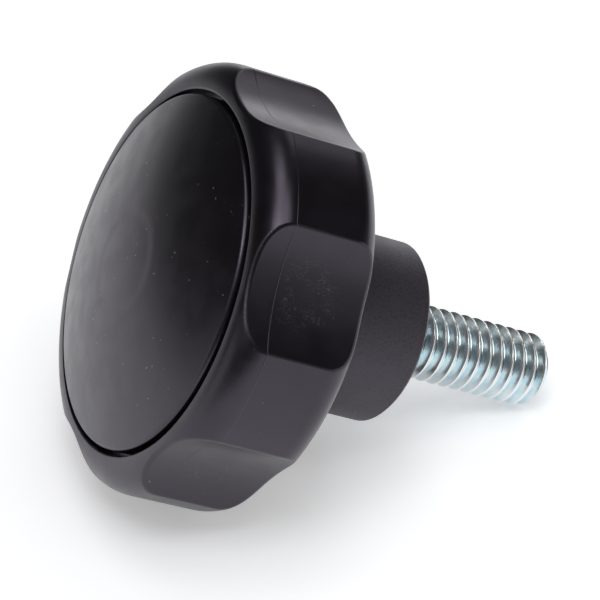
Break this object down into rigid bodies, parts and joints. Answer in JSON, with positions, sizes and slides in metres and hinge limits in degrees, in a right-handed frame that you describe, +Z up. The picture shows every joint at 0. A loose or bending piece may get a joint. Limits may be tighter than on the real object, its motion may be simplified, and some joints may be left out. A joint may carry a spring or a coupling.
{
  "type": "lobed clamping knob",
  "caption": "Black plastic hand knob with shallow finger flutes, a domed centre cap, a round hub and a threaded steel stud for clamping.",
  "frame": {"origin": "on the floor, under the middle of the length of the knob as it lies", "axes": "+X along the floor from the head towards the tip of the stud, +Z up; the stud falls towards its tip in the XZ plane"},
  "size_m": [0.0515, 0.0444, 0.0421],
  "materials": {
    "body_plastic": "black moulded plastic with a fine matte grain",
    "cap_plastic": "black moulded plastic, smoother than the body, with a satin sheen",
    "zinc_steel": "bright blue-white zinc plating"
  },
  "bodies": {
    "root": {"knob_body": "body_plastic", "centre_cap": "cap_plastic", "threaded_stud": "zinc_steel"}
  },
  "joints": []
}
